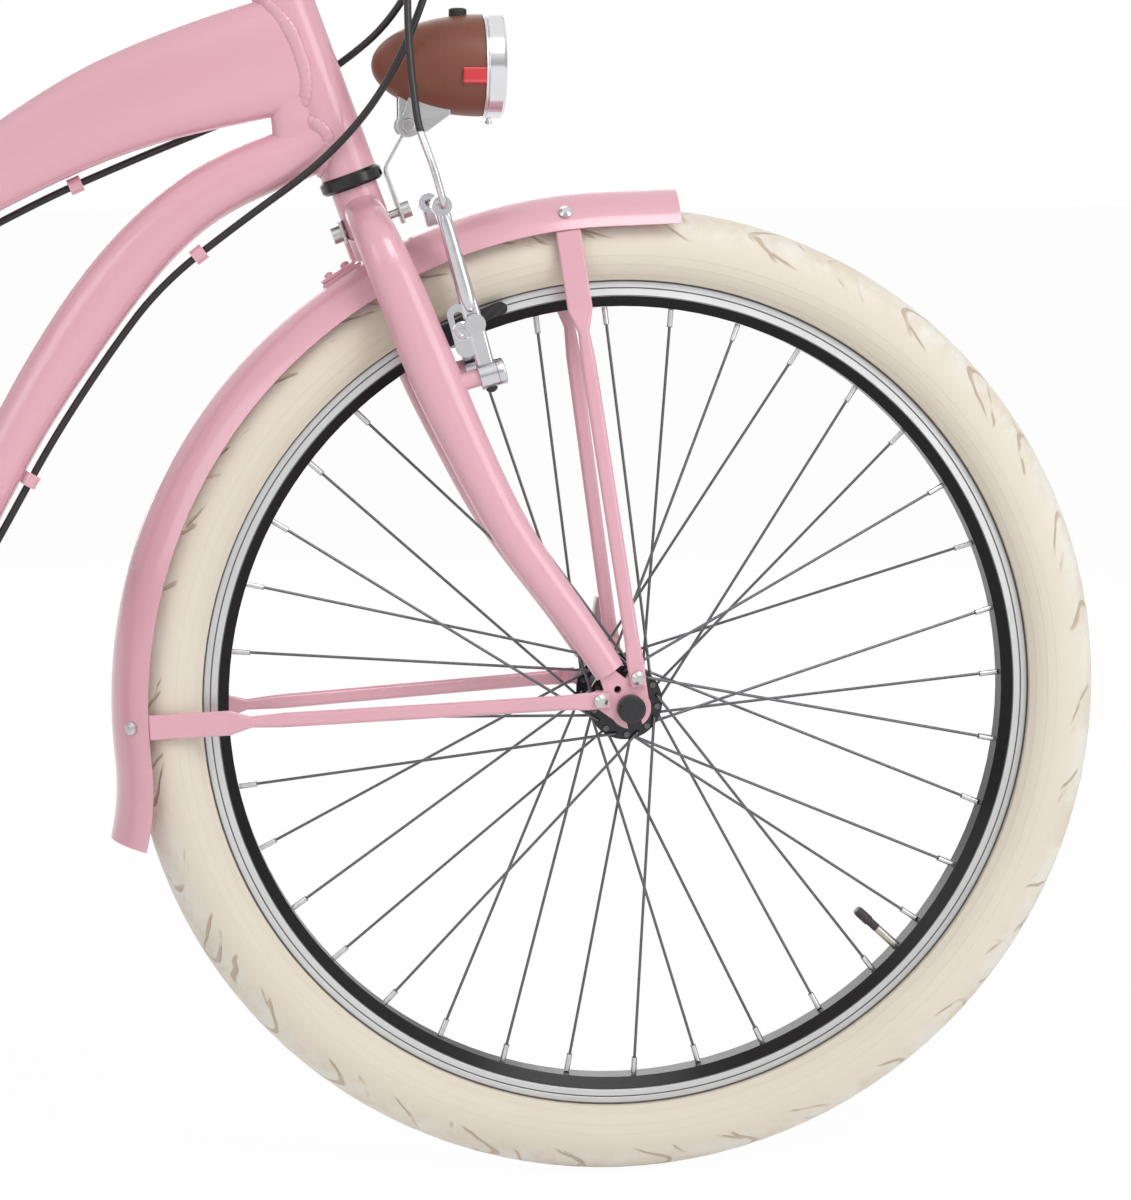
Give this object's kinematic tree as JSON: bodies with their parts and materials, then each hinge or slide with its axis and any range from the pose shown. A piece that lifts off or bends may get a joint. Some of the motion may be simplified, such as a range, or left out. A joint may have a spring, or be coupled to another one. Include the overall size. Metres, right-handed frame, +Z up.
{
  "type": "beach cruiser bicycle",
  "caption": "Beach cruiser bicycle with a curved frame, balloon tyres, fenders, rim brakes, a bullet lamp, swept handlebar, sprung saddle, chain drive and kickstand.",
  "frame": {"origin": "on the ground, in the middle of the whole bicycle's box", "axes": "-Y is the way it rides, +X its left side, +Z up"},
  "size_m": [0.7172, 1.7732, 1.0662],
  "materials": {
    "pink_paint": "gloss",
    "cream_tyre": "matte",
    "rim_black": "satin",
    "spoke_steel": "satin",
    "hub_black": "gloss",
    "steel": "satin",
    "chrome": "polished",
    "alloy": "satin",
    "black_metal": "satin",
    "lamp_brown": "gloss",
    "lens": "clear",
    "red_plastic": "gloss",
    "brown_grip": "matte",
    "black_rubber": "matte",
    "brown_saddle": "satin",
    "cable_black": "satin",
    "tube_rubber": "matte"
  },
  "bodies": {
    "frame": {"head_tube": "pink_paint", "headset": "black_metal", "top_tube": "pink_paint", "down_tube": "pink_paint", "seat_tube": "pink_paint", "bottom_bracket_shell": "pink_paint", "chain_stays": "pink_paint", "seat_stays": "pink_paint", "rear_fender": "pink_paint", "rear_fender_stays": "pink_paint", "rear_reflector": "red_plastic", "rear_axle": "steel", "chain_guard": "pink_paint", "cable_guides": "steel", "seat_clamp": "steel", "rear_brake_cable": "cable_black", "shift_cable": "cable_black", "chain": "steel"},
    "fork": {"fork_steerer": "pink_paint", "fork_legs": "pink_paint", "front_axle": "steel", "front_fender": "pink_paint", "front_fender_stays": "pink_paint", "crown_brackets": "steel", "stem": "chrome", "handlebar": "chrome", "grips": "brown_grip", "lever_mounts": "alloy", "front_brake_cable": "cable_black"},
    "front_wheel": {"front_tyre": "cream_tyre", "front_rim": "rim_black", "front_inner_tube": "tube_rubber", "front_spokes": "spoke_steel", "front_hub": "hub_black"},
    "rear_wheel": {"rear_tyre": "cream_tyre", "rear_rim": "rim_black", "rear_inner_tube": "tube_rubber", "rear_spokes": "spoke_steel", "rear_hub": "hub_black"},
    "crank": {"crank_set": "chrome", "chainring": "chrome"},
    "sprocket": {"rear_sprocket": "steel"},
    "pedal_right": {"right_pedal": "black_rubber"},
    "pedal_left": {"left_pedal": "black_rubber"},
    "front_arm_right": {"front_brake_arm_right": "alloy"},
    "front_arm_left": {"front_brake_arm_left": "alloy"},
    "rear_arm_right": {"rear_brake_arm_right": "alloy"},
    "rear_arm_left": {"rear_brake_arm_left": "alloy"},
    "lever_left": {"brake_lever_left": "alloy"},
    "lever_right": {"brake_lever_right": "alloy"},
    "shifter": {"grip_shifter": "brown_grip"},
    "lamp": {"lamp_shell": "lamp_brown", "lamp_bezel": "chrome", "lamp_lens": "lens"},
    "switch": {"lamp_switch": "black_rubber"},
    "release": {"quick_release_lever": "steel"},
    "kickstand": {"kickstand_leg": "chrome"},
    "seat": {"seatpost": "chrome", "saddle_springs": "steel", "saddle": "brown_saddle"}
  },
  "joints": [
    {"name": "steering", "type": "hinge", "parent": "frame", "child": "fork", "pos_m": [0, -0.36802, 0.68714], "axis": [0, 0.342, 0.9397], "range_deg": [-60, 60], "deforming": ["rear_brake_cable", "shift_cable"]},
    {"name": "front_wheel_spin", "type": "hinge", "parent": "fork", "child": "front_wheel", "pos_m": [0, -0.54976, 0.334], "axis": [1, 0, 0], "continuous": true},
    {"name": "rear_wheel_spin", "type": "hinge", "parent": "frame", "child": "rear_wheel", "pos_m": [0, 0.53505, 0.334], "axis": [1, 0, 0], "continuous": true},
    {"name": "crank_spin", "type": "hinge", "parent": "frame", "child": "crank", "pos_m": [0, 0.07024, 0.285], "axis": [1, 0, 0], "continuous": true, "deforming": ["chain"]},
    {"name": "sprocket_spin", "type": "hinge", "parent": "frame", "child": "sprocket", "pos_m": [0, 0.53505, 0.334], "axis": [1, 0, 0], "continuous": true},
    {"name": "pedal_right_spin", "type": "hinge", "parent": "crank", "child": "pedal_right", "pos_m": [-0.122, 0.07024, 0.115], "axis": [1, 0, 0], "continuous": true},
    {"name": "pedal_left_spin", "type": "hinge", "parent": "crank", "child": "pedal_left", "pos_m": [0.122, 0.07024, 0.455], "axis": [1, 0, 0], "continuous": true},
    {"name": "lever_left_pull", "type": "hinge", "parent": "fork", "child": "lever_left", "pos_m": [0.27992, -0.29213, 1.04862], "axis": [0.0458, 0.0702, 0.9965], "range_deg": [0, 13], "stiffness_Nm_per_rad": 2, "springref_deg": -5.73},
    {"name": "lever_right_pull", "type": "hinge", "parent": "fork", "child": "lever_right", "pos_m": [-0.27992, -0.29213, 1.04862], "axis": [0.0458, -0.0702, -0.9965], "range_deg": [0, 13], "stiffness_Nm_per_rad": 2, "springref_deg": -5.73},
    {"name": "front_arm_right_turn", "type": "hinge", "parent": "fork", "child": "front_arm_right", "pos_m": [-0.0495, -0.45462, 0.55914], "axis": [0, 0.9636, -0.2672], "range_deg": [0, 2.35]},
    {"name": "front_arm_left_turn", "type": "hinge", "parent": "fork", "child": "front_arm_left", "pos_m": [0.0495, -0.45462, 0.55914], "axis": [0, -0.9636, 0.2672], "range_deg": [0, 2.35]},
    {"name": "rear_arm_right_turn", "type": "hinge", "parent": "frame", "child": "rear_arm_right", "pos_m": [-0.0495, 0.31206, 0.45404], "axis": [0, 0.587, 0.8096], "range_deg": [0, 3]},
    {"name": "rear_arm_left_turn", "type": "hinge", "parent": "frame", "child": "rear_arm_left", "pos_m": [0.0495, 0.31206, 0.45404], "axis": [0, -0.587, -0.8096], "range_deg": [0, 3]},
    {"name": "shifter_twist", "type": "hinge", "parent": "fork", "child": "shifter", "pos_m": [-0.27241, -0.2454, 1.04567], "axis": [0.5485, -0.8319, 0.0838], "range_deg": [0, 90]},
    {"name": "lamp_tilt", "type": "hinge", "parent": "fork", "child": "lamp", "pos_m": [0, -0.40547, 0.72312], "axis": [1, 0, 0], "range_deg": [-12, 12]},
    {"name": "switch_press", "type": "slide", "parent": "lamp", "child": "switch", "axis": [0, 0, -1], "range_m": [0, 0.002], "stiffness_N_per_m": 600, "springref_m": -0.001},
    {"name": "release_turn", "type": "hinge", "parent": "fork", "child": "release", "pos_m": [0.07, -0.54976, 0.334], "axis": [0, 1, 0], "range_deg": [0, 180]},
    {"name": "kickstand_turn", "type": "hinge", "parent": "frame", "child": "kickstand", "pos_m": [0.08245, 0.40542, 0.32782], "axis": [0.9408, -0.016, 0.3387], "range_deg": [0, 76.09]},
    {"name": "seatpost_slide", "type": "slide", "parent": "frame", "child": "seat", "axis": [0, 0.342, 0.9397], "range_m": [-0.06, 0.06]}
  ],
  "couplings": [
    {"joint": "sprocket_spin", "follows": "crank_spin", "ratio": 2.2},
    {"joint": "front_arm_right_turn", "follows": "lever_left_pull", "ratio": 0.17308},
    {"joint": "front_arm_left_turn", "follows": "lever_left_pull", "ratio": 0.17308},
    {"joint": "rear_arm_right_turn", "follows": "lever_right_pull", "ratio": 0.22308},
    {"joint": "rear_arm_left_turn", "follows": "lever_right_pull", "ratio": 0.22308}
  ]
}
